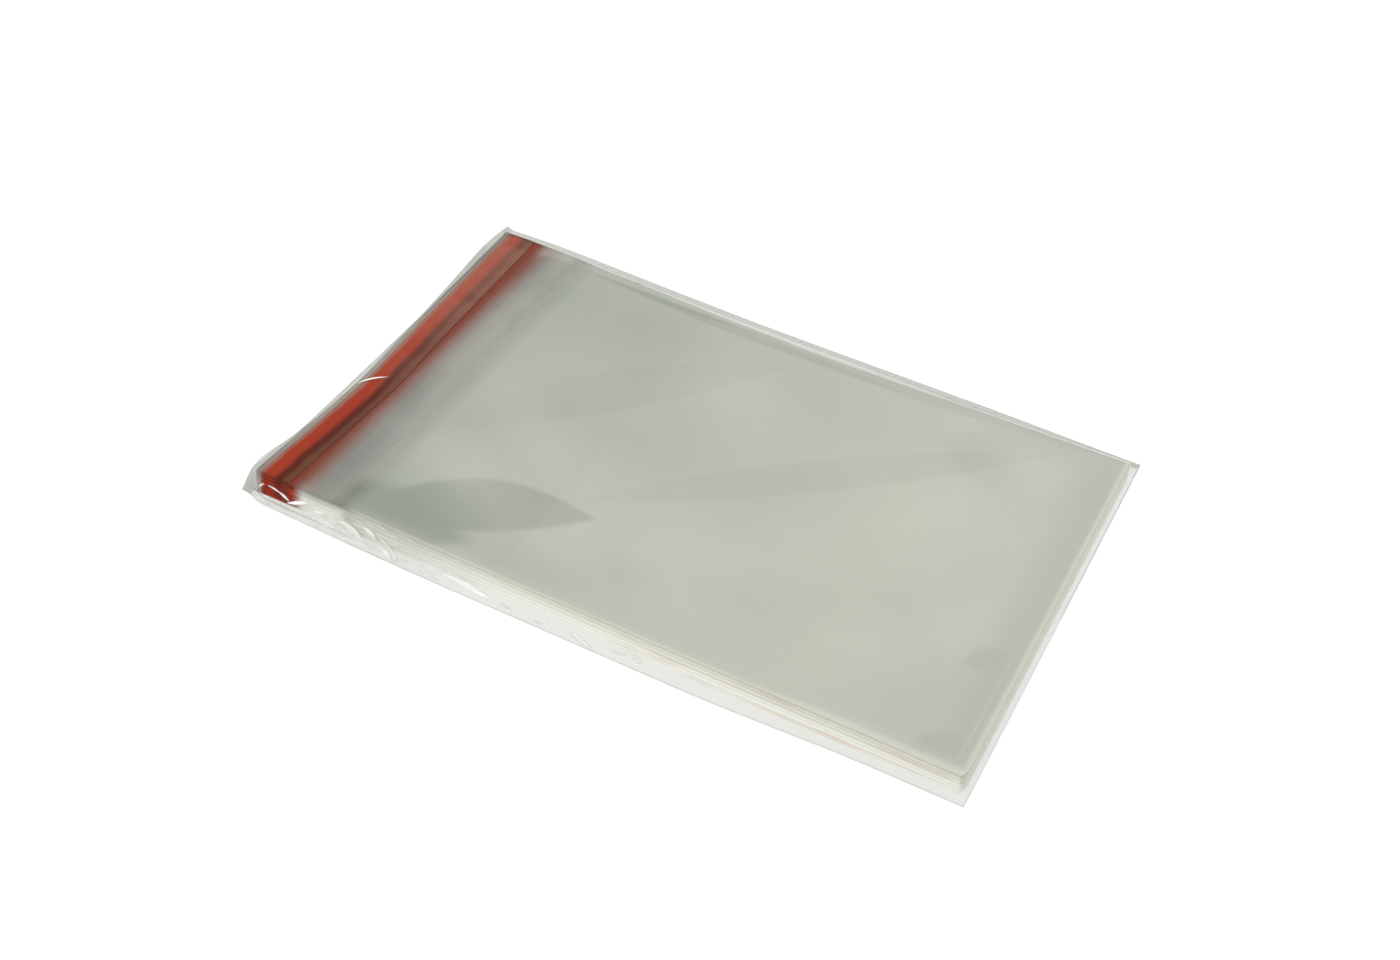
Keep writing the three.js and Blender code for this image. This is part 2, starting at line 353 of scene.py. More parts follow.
def ease(value, low=0.0, high=1.0):
    t = np.clip((value - low) / (high - low), 0, 1)
    return t * t * (3 - 2 * t)


def smoothLine(rows, rounds=60):
    places, *columns = (np.array(column, float) for column in zip(*rows))
    fine = np.linspace(places[0], places[-1], 201)
    curves = []
    for values in columns:
        curve = np.interp(fine, places, values)
        for _ in range(rounds):
            curve[1:-1] = (curve[:-2] + 2 * curve[1:-1] + curve[2:]) / 4
        curves.append(curve)
    return fine, curves


bowPlaces, (bowLine,) = smoothLine(stack["bow"], stack["smoothing"])
edgePlaces, (edgeLine,) = smoothLine(stack["backEdge"], stack["smoothing"])
lipPlaces, lipCurves = smoothLine(outer["lips"])


def bowAt(x, y):
    past, before = stack["bowAlong"]
    return -np.interp(y, bowPlaces, bowLine) * ease(-x, -mouthX - past, -mouthX + before)


def backEdgeAt(x):
    return np.interp(x, edgePlaces, edgeLine)


def sagAt(x, y):
    start = backEdgeAt(x)
    outside, inside = stack["sagBetween"]
    depth = stack["sag"] * ease(-start, -outside, -inside)
    return 1 - depth * np.clip((y - start) / (stack["bagWidth"] / 2 + stack["edgeRoom"] - start), 0, 1)


def flareAt(x, y):
    past, fromTips = stack["flareAlong"]
    return stack["flare"] * ease(y, *stack["flareAcross"]) * ease(-x, -mouthX - past, -tipX - fromTips)


def softNoise(x, y, scale, seed, octaves=2):
    flatX, flatY = np.broadcast_arrays(np.asarray(x, float), np.asarray(y, float))
    points = zip(flatX.ravel() / scale, flatY.ravel() / scale)
    values = [noise.fractal(Vector((u, v, seed)), 1.0, 2.0, octaves) for u, v in points]
    return np.array(values).reshape(flatX.shape)


# The top isn't quite flat
heave = {
    "height": 0.35,
    "length": 90.0,
    "squeeze": 1.4,
    "seed": 4.7,
    "side": 118.0,
    "fades": (40, 30, 30),    # at the folds, the sides and the tips
}


def heaveAt(x, y):
    foldFade, sideFade, tipFade = heave["fades"]
    edge = ease(foldX - x, 0, foldFade) * ease(heave["side"] - np.abs(y), 0, sideFade)
    edge = edge * ease(x - tipX, 0, tipFade)
    return heave["height"] * softNoise(x, y * heave["squeeze"], heave["length"], heave["seed"]) * edge


# Meshes

def gridNormals(points):
    along = np.gradient(points, axis=0)
    across = np.gradient(points, axis=1)
    normals = np.cross(along, across)
    return normals / np.maximum(np.linalg.norm(normals, axis=2, keepdims=True), 1e-12)


# A closed sheet of film round a grid of points; rise thickens its upper face
def shellOf(points, thickness, rise=0.0):
    rows, columns = points.shape[:2]
    normals = gridNormals(points)
    rise = np.broadcast_to(np.asarray(rise, float), (rows, columns))[..., None]
    over = points + normals * (thickness / 2 + rise)
    under = points - normals * thickness / 2
    vertices = np.concatenate([over.reshape(-1, 3), under.reshape(-1, 3)])
    shift = rows * columns
    index = np.arange(shift).reshape(rows, columns)
    faces = np.stack([index[:-1, :-1], index[1:, :-1], index[1:, 1:], index[:-1, 1:]], axis=-1)
    faces = faces.reshape(-1, 4)
    below = index + shift
    backs = np.stack([below[:-1, :-1], below[:-1, 1:], below[1:, 1:], below[1:, :-1]], axis=-1)
    backs = backs.reshape(-1, 4)
    rim = np.concatenate([index[0, :], index[1:, -1], index[-1, -2::-1], index[-2:0:-1, 0]])
    after = np.roll(rim, -1)
    sides = np.stack([rim, after, after + shift, rim + shift], axis=-1)
    return vertices, np.concatenate([faces, backs, sides])


def meshObject(name, shells, material, marks=None):
    vertices, faces, offset = [], [], 0
    for points, quads in shells:
        vertices.append(points)
        faces.append(quads + offset)
        offset += len(points)
    vertices, faces = np.concatenate(vertices) + middle, np.concatenate(faces)
    mesh = bpy.data.meshes.new(name)
    mesh.vertices.add(len(vertices))
    mesh.vertices.foreach_set("co", (vertices * mm).astype(np.float32).ravel())
    mesh.loops.add(faces.size)
    mesh.loops.foreach_set("vertex_index", faces.astype(np.int32).ravel())
    mesh.polygons.add(len(faces))
    mesh.polygons.foreach_set("loop_start", np.arange(0, faces.size, 4, dtype=np.int32))
    mesh.update(calc_edges=True)
    mesh.polygons.foreach_set("use_smooth", np.full(len(faces), True))
    for key, values in (marks or {}).items():
        layer = mesh.attributes.new(key, "FLOAT", "POINT")
        layer.data.foreach_set("value", values.astype(np.float32))
    mesh.materials.append(material)
    piece = bpy.data.objects.new(name, mesh)
    scene.collection.objects.link(piece)
    return piece


def spaced(*spans):
    parts = [np.linspace(start, end, steps, endpoint=False) for start, end, steps in spans]
    return np.concatenate(parts + [[spans[-1][1]]])


# A mailer: one sheet from the flap's tip along under the pocket, round the bottom fold and back to the mouth

mailer = {
    "pinch": 5.0,    # the two walls come together over this width beside the side welds
    "pinchFrom": (-1, 6),    # from the mouth
    "edgeWave": 0.22,
    "waveLength": 55.0,
    "waveSeeds": (3.1, 2.3),
    "cornerPull": 2.2,    # the bottom corners are rounded off by this much
    "cornerWidth": 7.0,
    "cornerLength": 25,
    "foldSteps": 5,
    "foldInset": 1,    # the walls end this far before the fold
    "foldMove": 0.9,    # and its round lies this far on
    "mouthFade": 12.0,    # the upper wall shows only gradually from the mouth on
    "finerFrom": 150,
    "sideZones": (4, 14),    # the mesh is finer within these widths of the sides
}


def mailerShell(index, along, across):
    half = stack["bagWidth"] / 2
    film = stack["film"]
    fadeEnd, finer, wallEnd = mouthX + mailer["mouthFade"], mailer["finerFrom"], foldX - mailer["foldInset"]
    walls = spaced((tipX, mouthX, 14), (mouthX, fadeEnd, 5), (fadeEnd, finer, 16), (finer, wallEnd, 12))
    mouthAt = int(np.argmin(np.abs(walls - mouthX)))
    near, far = (half - zone for zone in mailer["sideZones"])
    y = spaced((-half, -near, 5), (-near, -far, 4), (-far, far, 12), (far, near, 4), (near, half, 5))
    lower = stack["floor"] + index * pitchAt(walls + along) + film / 2
    upper = stack["floor"] + (index + 1) * pitchAt(walls + along) - stack["layerGap"] - film / 2
    radius = (upper[-1] - lower[-1]) / 2
    turn = np.linspace(-np.pi / 2, np.pi / 2, mailer["foldSteps"] + 2)[1:-1]
    x = np.concatenate([walls, wallEnd + radius * np.cos(turn) + mailer["foldMove"], walls[:mouthAt - 1:-1]])
    z = np.concatenate([lower, (upper[-1] + lower[-1]) / 2 + radius * np.sin(turn), upper[:mouthAt - 1:-1]])
    both = upper + lower
    level = np.concatenate([both, np.full(turn.size, both[-1]), both[:mouthAt - 1:-1]]) / 2
    pocket = ease(x, *(mouthX + place for place in mailer["pinchFrom"]))[:, None]
    pinch = ease(np.abs(y), half - stack["weld"] - mailer["pinch"], half - stack["weld"])[None, :] * pocket
    side = np.sign(z - level)[:, None]
    X, Y = np.meshgrid(x, y, indexing="ij")
    Z = z[:, None] * (1 - pinch) + (level[:, None] + side * film / 2) * pinch
    corner = np.clip((np.abs(Y) - half + mailer["cornerWidth"]) / mailer["cornerWidth"], 0, 1) ** 2
    X = X - mailer["cornerPull"] * corner * ease(X, foldX - mailer["cornerLength"], foldX)
    apart, seed = mailer["waveSeeds"]
    wave = mailer["edgeWave"] * softNoise(x, index * apart, mailer["waveLength"], seed)[:, None]
    Y = Y + wave * ease(np.abs(Y), half * 0.5, half)
    Z = (Z + heaveAt(X, Y) * (Z / stackTop(X))) * sagAt(X, Y)
    X, Y = X + bowAt(X, Y), Y + flareAt(X, Y)
    points = np.stack([X + along, Y + across, Z], axis=-1)

    inset, outset, thick = stack["adhesive"]
    place = np.arange(x.size)
    lowerWall = place < walls.size
    upperWall = place >= walls.size + turn.size
    band = ((x > tipX + inset) & (x < tipX + outset) & lowerWall)[:, None] * np.ones_like(Y)
    mouth = (upperWall * (1 - ease(x, mouthX, fadeEnd)))[:, None] * np.ones_like(Y)
    return shellOf(points, film, band * thick), np.tile(mouth.ravel(), 2)


# The red release liner on each flap

liner = {
    "liftWidth": 4.0,
    "lift": 0.07,
    "endInset": 0.3,
    "wander": 0.35,
    "wanderLength": 60.0,
    "wanderSeeds": (1.7, 8.1),
    "thicknessShare": 0.9,
}


def linerShell(index, along, across):
    half = stack["bagWidth"] / 2 - liner["endInset"]
    flat = stack["linerWidth"] - liner["liftWidth"]
    x = tipX + stack["linerInset"] + spaced((0.0, flat, 6), (flat, stack["linerWidth"], 4))
    y = np.linspace(-half, half, 61)
    X, Y = np.meshgrid(x, y, indexing="ij")
    base = stack["floor"] + index * flapPitch + stack["film"] + stack["adhesive"][2] + stack["linerGap"]
    lift = ease(X, x[-1] - liner["liftWidth"], x[-1]) * liner["lift"]
    Z = base + stack["linerThickness"] / 2 + lift + heaveAt(X, Y) * base / stackTop(X)
    apart, seed = liner["wanderSeeds"]
    X = X + bowAt(X, Y) + liner["wander"] * softNoise(Y, index * apart, liner["wanderLength"], seed)
    Y = Y + flareAt(X, Y)
    points = np.stack([X + along, Y + across, Z], axis=-1)
    return shellOf(points, stack["linerThickness"] * liner["thicknessShare"])


# The outer bag: two walls of thin film, welded into a fin on three sides, its lips together at the flap end

creases = {
    "seed": 11,
    "front": 46,
    "zone": (-134, -123),    # over the surface from the middle line, down the front wall
    "start": 3,    # from the lips
    "reach": 150,
    "crowding": 1.6,    # more of them lie near the lips
    "slant": (10, 65),    # degrees
    "leaning": (0.72, 0.28),    # how many lean back and how many forward
    "length": (5.0, 18.0),
    "width": (0.4, 1.1),
    "height": (0.12, 0.6),
    "hollow": -0.6,
    "calming": 0.75,    # they are this much lower at the end of their reach
    "bend": 0.03,
    "facetRise": 0.3,
    "facetEdge": 0.3,
    "facetStretch": 1.1,
    "ripple": 0.22,
    "rippleLength": 16.0,
    "rippleSeed": 5.5,
    "rippleSqueeze": 2.0,
    "rippleFrom": (116, 121),    # from the middle line
    "rippleEnd": 20,    # it fades over this length towards the fold end
    "topShare": 0.8,    # of the creases' height, within the next of the middle line
    "topWithin": 100,
    "finColumns": 6,    # the mesh's columns over which they fade towards the fins
    "milkyTo": (60, 120),    # from the middle towards the lips
    "facets": [    # raised folds that carry a painted highlight: x and s of both ends, half width, bow and the painted highlight's strength
        (-201.6, -130.8, -198.3, -127.5, 0.45, 0.5, 0.9),
        (-195.8, -127.3, -186.6, -128.7, 0.4, 0.3, 0.95),
        (-188.1, -128.4, -180.6, -130.8, 0.6, 0.3, 0.95),
        (-181.2, -131.8, -169.5, -127.3, 0.95, 0, 1),
        (-170.4, -129.6, -167.6, -130.7, 0.35, 0, 0.7),
        (-165.4, -130.3, -157.7, -128.8, 0.75, 0, 0.8),
        (-154.2, -123.2, -151.4, -134.1, 0.4, 0, 0.9),
        (-157.6, -130.9, -151.0, -134.4, 0.4, 0.3, 0.75),
        (-148.0, -128.6, -133.3, -132.4, 1.7, 0.8, 0.75),
        (-151.5, -127.4, -138.3, -133.2, 0.35, -0.6, 0.7),
        (-133.4, -125.9, -124.5, -128.6, 1.2, 0.5, 0.75),
        (-124.6, -126.9, -115.6, -130.1, 0.4, 0.5, 0.85),
        (-117.0, -129.5, -108.5, -135.4, 0.45, 0.6, 0.85),
        (-122.2, -131.6, -110.7, -136.3, 1.2, 0.5, 0.7),
        (-97.8, -132.7, -90.2, -131.8, 0.7, 0, 0.5),
        (-84.0, -130.4, -50.7, -131.4, 1.5, 0.8, 0.85),
        (-87.8, -134.2, -83.3, -134.4, 0.6, 0, 0.6),
        (-46.6, -130.6, -38.0, -131.9, 0.8, 0, 0.35),
        (-25.2, -131.1, -20.1, -131.9, 0.7, 0, 0.4),
        (-3.8, -129.5, 10.8, -133.6, 1.2, 0.4, 0.7),
        (17.4, -129.0, 27.0, -128.3, 0.9, 0, 0.4),
        (29.8, -126.3, 36.3, -129.3, 1.0, 0, 0.6),
    ],
}


def lipShape(y):
    height, ear = (np.interp(y / tipY, lipPlaces, curve) for curve in lipCurves)
    return height * roofAt(tipX), ear


def roofAt(x):
    return stackTop(x) + outer["looseness"]


def finHeight(x, side):
    which = 0 if side < 0 else 1
    share = np.clip(1 - (x - lipEndX) / (outer["finReach"][which] * (finTipX - lipEndX)), 0, 1)
    tip = lipShape(np.array(side * tipY))[0]
    return outer["film"] + (tip - outer["film"]) * share ** outer["finBend"][which]


def wallAt(x, side):
    if side > 0:
        spread, length = outer["backSpread"]
        return outer["half"] + spread * (1 - ease(x, lipStartX, lipStartX + length))
    share = (x - lipEndX) / (finTipX - lipEndX)
    rising, falling = ease(share, *outer["bulgeFrom"]), ease(share, *outer["bulgeTo"])
    return outer["half"] + outer["bulge"] * rising * (1 - falling)


def stepsBetween(a, b, count):
    t = np.linspace(0, 1, count, endpoint=False)[None, :]
    return np.stack([start[:, None] + (end - start)[:, None] * t for start, end in zip(a, b)])


def profile(controls, counts):
    parts = [stepsBetween(controls[i], controls[i + 1], n) for i, n in enumerate(counts)]
    last = np.stack([controls[-1][0][:, None], controls[-1][1][:, None]])
    return np.concatenate(parts + [last], axis=2)


def relax(section, rounds, low, high):
    for _ in range(rounds):
        before, here, after = (section[:, :, low + n:high + n] for n in (-1, 0, 1))
        section[:, :, low:high] = (before + 2 * here + after) / 4
    return section


# Points of the outer bag's section on one side, from the fin's tip to the flat parts
def sideControls(x, roof, side):
    film = outer["film"]
    wall = wallAt(x, side)
    tip = np.minimum(finHeight(x, side), roof)
    low = np.full_like(x, film / 2)
    if side < 0:
        top = np.full_like(x, outer["tops"][0])
        finTip = -wall - outer["sideFin"]
    else:
        top = np.minimum(outer["tops"][1], backEdgeAt(x) + stack["edgeRoom"]) + wall - outer["half"]
        finTip = tipY - np.interp(x, *zip(*outer["backFin"]))
    out, up = outer["shoulder"]
    return {
        "tip": (finTip, tip),
        "corner": (side * (wall + film), tip + outer["finLift"]),
        "bend": (side * top, roof),
        "shoulder": (side * (top + out * (wall - top)), tip + up * (roof - tip)),
        "inner": (side * (top - outer["flatInset"]), roof),
        "foot": (side * (wall - film), low),
        "floor": (side * (wall - outer["flatInset"]), low),
    }


def sections(x):
    film = outer["film"]
    shoulderX = foldX - stack["reach"] + outer["looseness"]
    closing = np.sqrt(np.clip((pocketEndX - x) / (pocketEndX - shoulderX), 0, 1))
    lowest = 4 * film
    roof = lowest + (roofAt(x) - lowest) * closing
    roof[x > pocketEndX - 1e-6] = 2 * film
    front, back = sideControls(x, roof, -1), sideControls(x, roof, 1)
    overPoints = [front[name] for name in ("tip", "corner", "bend", "inner")]
    overPoints += [back[name] for name in ("inner", "bend", "shoulder", "corner", "tip")]
    over = profile(overPoints, outer["overSteps"])
    over[1] += film / 2
    over = relax(over, *outer["frontRound"])
    over = relax(over, *outer["backRound"], over.shape[2] - 2)
    underPoints = [front[name] for name in ("tip", "corner", "foot", "floor")]
    underPoints += [back[name] for name in ("floor", "foot", "corner", "tip")]
    under = profile(underPoints, outer["underSteps"])
    under = relax(under, *outer["underRound"], under.shape[2] - 2)
    under[1][:, [0, -1]] -= film / 2
    under[1] = np.maximum(under[1], film / 2)
    return over, under


# Draws one wall's section to the shape of the lips
def closeLips(x, section, way):
    lipZ, ear = lipShape(section[0])
    lipZ = lipZ + way * (outer["lipGap"] + outer["film"]) / 2
    opening = np.clip((x - lipEndX) / outer["lip"], 0, 1)
    share = ease(opening)[:, None]
    Z = lipZ * (1 - share) + section[1] * share
    X = x[:, None] - ear * (1 - opening[:, None])
    return np.stack([X, section[0], Z], axis=-1)


def creaseField(x, s):
    random = np.random.default_rng(creases["seed"])
    field, paintedHighlight = np.zeros_like(x), np.zeros_like(x)

    def along(cx, cs, turn, length, bow):
        u = ((x - cx) * math.cos(turn) + (s - cs) * math.sin(turn)) / (length / 2)
        v = (s - cs) * math.cos(turn) - (x - cx) * math.sin(turn)
        return np.clip(1 - u * u, 0, 1), v - bow * (1 - u * u)

    for _ in range(creases["front"]):
        near = random.uniform() ** creases["crowding"]
        turn = math.radians(random.uniform(*creases["slant"]) * random.choice([-1, 1], p=creases["leaning"]))
        fade = 1 - creases["calming"] * near
        length = random.uniform(*creases["length"]) * (0.5 + 0.5 * fade)
        height = random.uniform(*creases["height"]) * fade * random.choice([1, creases["hollow"]])
        place = lipStartX + creases["start"] + near * creases["reach"], random.uniform(*creases["zone"])
        ends, v = along(*place, turn, length, creases["bend"] * length * np.sign(height))
        field = field + height * ends * np.exp(-np.abs(v) / random.uniform(*creases["width"]))
    # Each facet is a raised fold with a painted highlight on it
    edge = creases["facetEdge"] / 2
    for x1, s1, x2, s2, half, bow, strength in creases["facets"]:
        turn, length = math.atan2(s2 - s1, x2 - x1), math.hypot(x2 - x1, s2 - s1)
        ends, v = along((x1 + x2) / 2, (s1 + s2) / 2, turn, length * creases["facetStretch"], bow)
        inside = np.where(ends > 0, half * ends - np.abs(v), -1)
        field = field + creases["facetRise"] * np.clip(inside / half, 0, 1)
        paintedHighlight = np.maximum(paintedHighlight, strength * ease(inside, -edge, edge))
    return field, paintedHighlight


# Slack film: creases on the front wall, and a slow ripple along both walls
def slackFilm(x, top):
    steps = np.linalg.norm(np.diff(top[:, :, 1:], axis=1), axis=2)
    s = np.concatenate([np.zeros((len(x), 1)), np.cumsum(steps, axis=1)], axis=1)
    centre = np.argmin(np.abs(top[..., 1]), axis=1)
    s = s - s[np.arange(len(x)), centre][:, None]
    field, paintedHighlight = creaseField(top[..., 0], s)
    column = np.arange(top.shape[1])
    free = np.where(np.abs(top[..., 1]) > creases["topWithin"], 1.0, creases["topShare"])
    for fromFin in (column, len(column) - 1 - column):
        free = free * ease(fromFin, 0, creases["finColumns"])
    stretch = creases["rippleSqueeze"]
    wave = softNoise(top[..., 0], s * stretch, creases["rippleLength"], creases["rippleSeed"], 3)
    walls = ease(np.abs(top[..., 1]), *creases["rippleFrom"])
    walls = walls * ease(finTipX - x, 0, creases["rippleEnd"])[:, None]
    lift = free * (field + creases["ripple"] * wave * walls)
    top = top + gridNormals(top) * lift[..., None]
    top[..., 2] = np.maximum(top[..., 2], 1.5 * outer["film"])
    milky = walls * (top[..., 1] < 0) * ease(-x, *creases["milkyTo"])[:, None]
    return top, paintedHighlight, milky


# Where the film's rims show, in millimetres
rims = {
    "edge": (0.2, 1.0),    # from the outline
    "frontShare": 0.4,
    "wall": (-1.5, 0.5),    # from the back wall
    "lips": (2.5, 4.5),    # from their ends
    "lipsFade": (100, 112, 0.3),    # from the middle line, and by how much
}


def rimMarks(x, sheet):
    fromTip = np.linalg.norm(sheet - sheet[:, :1], axis=2)
    fromTip = np.minimum(fromTip, np.linalg.norm(sheet - sheet[:, -1:], axis=2))
    fromEnd = np.minimum(x - lipEndX, finTipX - x)[:, None]
    edge = 1 - ease(np.minimum(fromTip, fromEnd), *rims["edge"])
    edge = edge * np.where(sheet[..., 1] < 0, rims["frontShare"], 1)
    edge = np.maximum(edge, ease(sheet[..., 1], *(outer["half"] + place for place in rims["wall"])))
    low, high, fade = rims["lipsFade"]
    lips = (1 - ease(x - lipEndX, *rims["lips"]))[:, None] * (1 - fade * ease(sheet[..., 1], low, high))
    return edge, lips


def outerShells():
    film = outer["film"]
    first, second, third = outer["rowsChange"]
    x = spaced((lipEndX, lipStartX, 7), (lipStartX, first, 160), (first, second, 84), (second, third, 30),
               (third, pocketEndX, 14), (pocketEndX, finTipX, 5))
    over, under = sections(x)
    top, bottom = closeLips(x, over, 1), closeLips(x, under, -1)
    high = np.clip(top[..., 2] / roofAt(top[..., 0]), 0, 1)
    top[..., 2] += heaveAt(top[..., 0], top[..., 1]) * high ** 2
    top, paintedHighlight, milky = slackFilm(x, top)

    marks = {"paintedHighlight": [], "edge": [], "lips": [], "milky": []}
    none = np.zeros(bottom.shape[:2])
    for sheet, paintedHighlightMarks, milkiness in ((top, paintedHighlight, milky), (bottom, none, none)):
        edge, lips = rimMarks(x, sheet)
        for key, values in (("paintedHighlight", paintedHighlightMarks), ("edge", edge), ("lips", lips), ("milky", milkiness)):
            marks[key] += [values.ravel()] * 2
    marks = {key: np.concatenate(parts) for key, parts in marks.items()}
    return [shellOf(top, film), shellOf(bottom, film)], marks


# Soft patches of tone

def softPatchGroup():
    group = bpy.data.node_groups.new("softPatch", "ShaderNodeTree")
    face = group.interface
    face.new_socket("Place", in_out="INPUT", socket_type="NodeSocketVector")
    for name in ("Centre X", "Centre Y", "Angle", "Half Length", "Half Width", "Softness", "Bow"):
        face.new_socket(name, in_out="INPUT", socket_type="NodeSocketFloat")
    face.new_socket("Mask", in_out="OUTPUT", socket_type="NodeSocketFloat")
    source, sink = group.nodes.new("NodeGroupInput"), group.nodes.new("NodeGroupOutput")
    given = source.outputs
    x, y, _ = axes(group, given["Place"])
    x = minus(group, x, given["Centre X"])
    y = minus(group, y, given["Centre Y"])
    cosine, sine = mathNode(group, "COSINE", given["Angle"]), mathNode(group, "SINE", given["Angle"])
    u = plus(group, times(group, x, cosine), times(group, y, sine))
    v = minus(group, times(group, y, cosine), times(group, x, sine))
    u = mathNode(group, "DIVIDE", u, given["Half Length"])
    square = times(group, u, u)
    v = minus(group, v, times(group, square, given["Bow"]))
    room = times(group, given["Half Width"], minus(group, 1.0, square))
    inside = minus(group, room, mathNode(group, "ABSOLUTE", v))
    low, high = (times(group, given["Softness"], half) for half in (-0.5, 0.5))
    group.links.new(rampNode(group, inside, low, high), sink.inputs["Mask"])
    return group


def patchMask(tree, group, place, values):
    patch = addNode(tree, "Group", node_tree=group)
    feed(tree, patch.inputs["Place"], place)
    for socket, value in zip(list(patch.inputs)[1:], values):
        socket.default_value = value
    return patch.outputs["Mask"]


# Film of the mailer bags. A pair says where an effect starts and ends: along the pack in the frame's
# millimetres, or as far from what its note names

filmLook = {
    "pocketStart": shade(184, 189, 180),
    "pocket": shade(216, 218, 206),
    "flap": shade(140, 138, 133),
    "flapLight": shade(166, 164, 158),
    "mouthPaintedLight": shade(213, 215, 206),
    "stained": shade(170, 84, 62),
    "tips": shade(188, 178, 171),
    # sideTop and side are painted light from the ground beneath the thin sides
    "sideTop": shade(246, 247, 235),
    "side": shade(250, 251, 245),
    "sidePink": shade(243, 233, 222),
    "sideGrey": shade(238, 238, 232),
    "endRed": shade(206, 66, 38),
    "endGapShade": shade(100, 46, 36),
    "dark": shade(163, 169, 157),
    "grey": shade(136, 136, 131),
    "cool": shade(202, 203, 199),
    "light": shade(226, 228, 215),
    "roughness": 0.4,
    "specular": 0.2,
    "flapAlpha": 0.42,
    "mouthAlpha": 0.02,    # the upper wall's at its very edge
    "mouth": (-152.0, -134.0),    # the single flaps give way to milky pockets
    "lightening": (-168.0, -146.0),    # from the strip towards the mouth: a lighter tone, painted light over the shade at the mouth's step
    "pocketFrom": (-146.0, -138.0),
    "pocketTo": (-142.0, 115.0),
    "pocketBend": 0.6,
    "coolFrom": (120.0, 180.0),
    "coolShare": 0.3,
    "stain": (-175.0, -162.0),    # the red strips stain the film beside them
    "deepStain": (110.0, 117.0, 0.5),    # from the middle line, and how strong in the lower layers
    "tipBand": (4.2, 2.6),    # from the flaps' tips, which take a lighter tone and a painted glow: painted light against the shade among them
    "greySides": (-120.0, -20.0),
    "redEnds": (-179.0, -170.0),
    "pinkFrom": (-20.0, 60.0),
    "pinkInset": (3.0, 12.0),    # from the fold
    "frontRim": (90.0, 150.0, 3.5, 8.0),    # between the first two it grows from one width to the other
    "frontRimShare": 0.85,
    "foldRim": (4.5, 0.5),    # width and share
    # painted glow, standing in for ground light through the edges: its strength and where it lies
    "edgeGlow": 0.19,
    "glowFrom": (121.0, 117.0),    # from the middle line
    "foldGlow": (4.0, 0.65),    # width and share
    "flapGlow": 0.32,
    "flapGlowFrom": (117.5, 119.5),    # from the middle line
    "tipGlow": 0.13,
    "cornerRadius": 9.0,
}
patches = {    # soft areas of another tone on the pack's top: how strong, then their place and shape
    # the dark lens and the two long streaks are painted reflections in the glossy film
    "darkLensReflection": ("dark", 0.82, (-86.0, -80.6, 0.467, 63.6, 19.0, 5.5, -7.9)),
    "darkCorner": ("dark", 0.88, (-128.0, -111.0, 0.12, 54.0, 20.0, 14.0, 0.0)),
    "frontDark": ("dark", 0.16, (-42.0, -90.0, 0.1, 60.0, 22.0, 24.0, 0.0)),
    "backLeft": ("dark", 0.08, (-108.0, 92.0, 0.0, 62.0, 26.0, 30.0, 0.0)),
    "backLine": ("dark", 0.7, (-32.0, 113.8, -0.035, 106.0, 3.2, 3.0, 0.0)),
    "backBand": ("cool", 0.7, (70.0, 114.0, 0.004, 135.0, 5.5, 4.0, 0.0)),
    "backCool": ("cool", 0.6, (160.0, 84.0, 0.0, 48.0, 34.0, 30.0, 0.0)),
    "lightMiddle": ("light", 0.35, (105.0, -10.0, 0.6, 90.0, 34.0, 40.0, 0.0)),
    "reflectedStreakA": ("dark", 0.12, (-74.0, 27.0, 0.775, 108.9, 16.8, 3.0, -7.7)),
    "reflectedStreakB": ("dark", 0.11, (62.9, 26.6, 0.642, 131.0, 12.1, 3.0, -1.3)),
    # the flaps are darker towards the front
    "flapFrontDarkening": ("grey", 0.8, (-165.0, -78.0, 1.571, 96.0, 11.0, 14.0, 0.0)),
    "rightSpot": ("grey", 0.16, (189.3, -47.4, 0.694, 13.0, 7.0, 6.0, 0.0)),
    "cornerSpot": ("grey", 0.16, (189.6, -106.7, 0.562, 16.0, 8.0, 6.0, 0.0)),
    "flapBack": ("light", 0.22, (-155.0, 98.0, 1.571, 30.0, 12.0, 14.0, 0.0)),
    "coolEnd": ("cool", 0.6, (199.0, 10.0, 1.571, 150.0, 14.0, 16.0, 0.0)),
    # a thin line of painted shade along a small crease
    "crease": ("dark", 0.8, (-162.5, 43.0, 0.12, 8.0, 1.1, 1.2, -1.5)),
}


# The flaps' bow: how far their tips lie out past a straight edge, and the place across from 0 to 1
def bowNode(tree, y):
    bow = addNode(tree, "FloatCurve")
    curve = bow.mapping.curves[0]
    first, last = stack["bow"][0][0], stack["bow"][-1][0]
    scale = stack["bowScale"]
    rows = [((place - first) / (last - first), reach / (2 * scale) + 0.5) for place, reach in stack["bow"]]
    for point, row in zip(curve.points, (rows[0], rows[-1])):
        point.location = row
    for row in rows[1:-1]:
        curve.points.new(*row)
    bow.mapping.update()
    across = lineNode(tree, y, first + middle[1], last + middle[1])
    feed(tree, bow.inputs["Value"], across)
    return lineNode(tree, bow.outputs[0], 0.0, 1.0, -scale, scale), across


